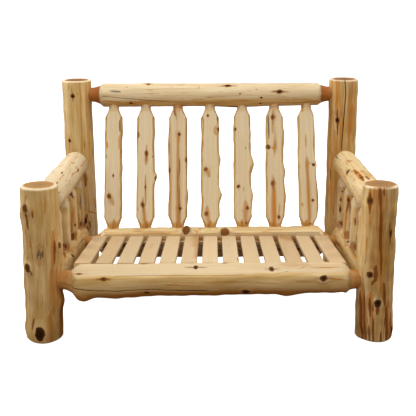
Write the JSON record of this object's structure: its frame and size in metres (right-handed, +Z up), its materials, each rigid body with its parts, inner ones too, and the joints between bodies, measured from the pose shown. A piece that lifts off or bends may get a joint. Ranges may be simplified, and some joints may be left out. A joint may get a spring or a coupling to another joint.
{
  "type": "log loveseat",
  "caption": "Rustic two-person seat of peeled logs: thick posts, log arms and rails on round tapered tenons, slab-faced raked spindles and a slatted deck for loose cushions.",
  "frame": {"origin": "on the floor, under the middle of the overall box", "axes": "+X to the viewer's right facing the seat, +Y towards the back, +Z up"},
  "size_m": [1.5384, 1.0982, 0.964],
  "materials": {
    "peeled_log": "satin clear coat on peeled cedar",
    "planed_slat": "planed cedar, satin clear coat",
    "zinc_screw": "zinc plated"
  },
  "bodies": {
    "root": {"post_front_left": "peeled_log", "post_front_right": "peeled_log", "post_back_left": "peeled_log", "post_back_right": "peeled_log", "top_rail": "peeled_log", "back_seat_rail": "peeled_log", "front_seat_rail": "peeled_log", "arm_rail_left": "peeled_log", "arm_rail_right": "peeled_log", "side_rail_left": "peeled_log", "side_rail_right": "peeled_log", "back_spindle_1": "peeled_log", "back_spindle_2": "peeled_log", "back_spindle_3": "peeled_log", "back_spindle_4": "peeled_log", "back_spindle_5": "peeled_log", "back_spindle_6": "peeled_log", "back_spindle_7": "peeled_log", "arm_spindle_left_1": "peeled_log", "arm_spindle_left_2": "peeled_log", "arm_spindle_left_3": "peeled_log", "arm_spindle_left_4": "peeled_log", "arm_spindle_right_1": "peeled_log", "arm_spindle_right_2": "peeled_log", "arm_spindle_right_3": "peeled_log", "arm_spindle_right_4": "peeled_log", "seat_slat_01": "planed_slat", "seat_slat_02": "planed_slat", "seat_slat_03": "planed_slat", "seat_slat_04": "planed_slat", "seat_slat_05": "planed_slat", "seat_slat_06": "planed_slat", "seat_slat_07": "planed_slat", "seat_slat_08": "planed_slat", "seat_slat_09": "planed_slat", "seat_slat_10": "planed_slat", "seat_slat_11": "planed_slat", "seat_slat_12": "planed_slat", "seat_slat_13": "planed_slat", "ledger_front": "planed_slat", "ledger_back": "planed_slat", "ledger_screw_front_1": "zinc_screw", "ledger_screw_front_2": "zinc_screw", "ledger_screw_front_3": "zinc_screw", "ledger_screw_front_4": "zinc_screw", "ledger_screw_back_1": "zinc_screw", "ledger_screw_back_2": "zinc_screw", "ledger_screw_back_3": "zinc_screw", "ledger_screw_back_4": "zinc_screw"}
  },
  "joints": []
}
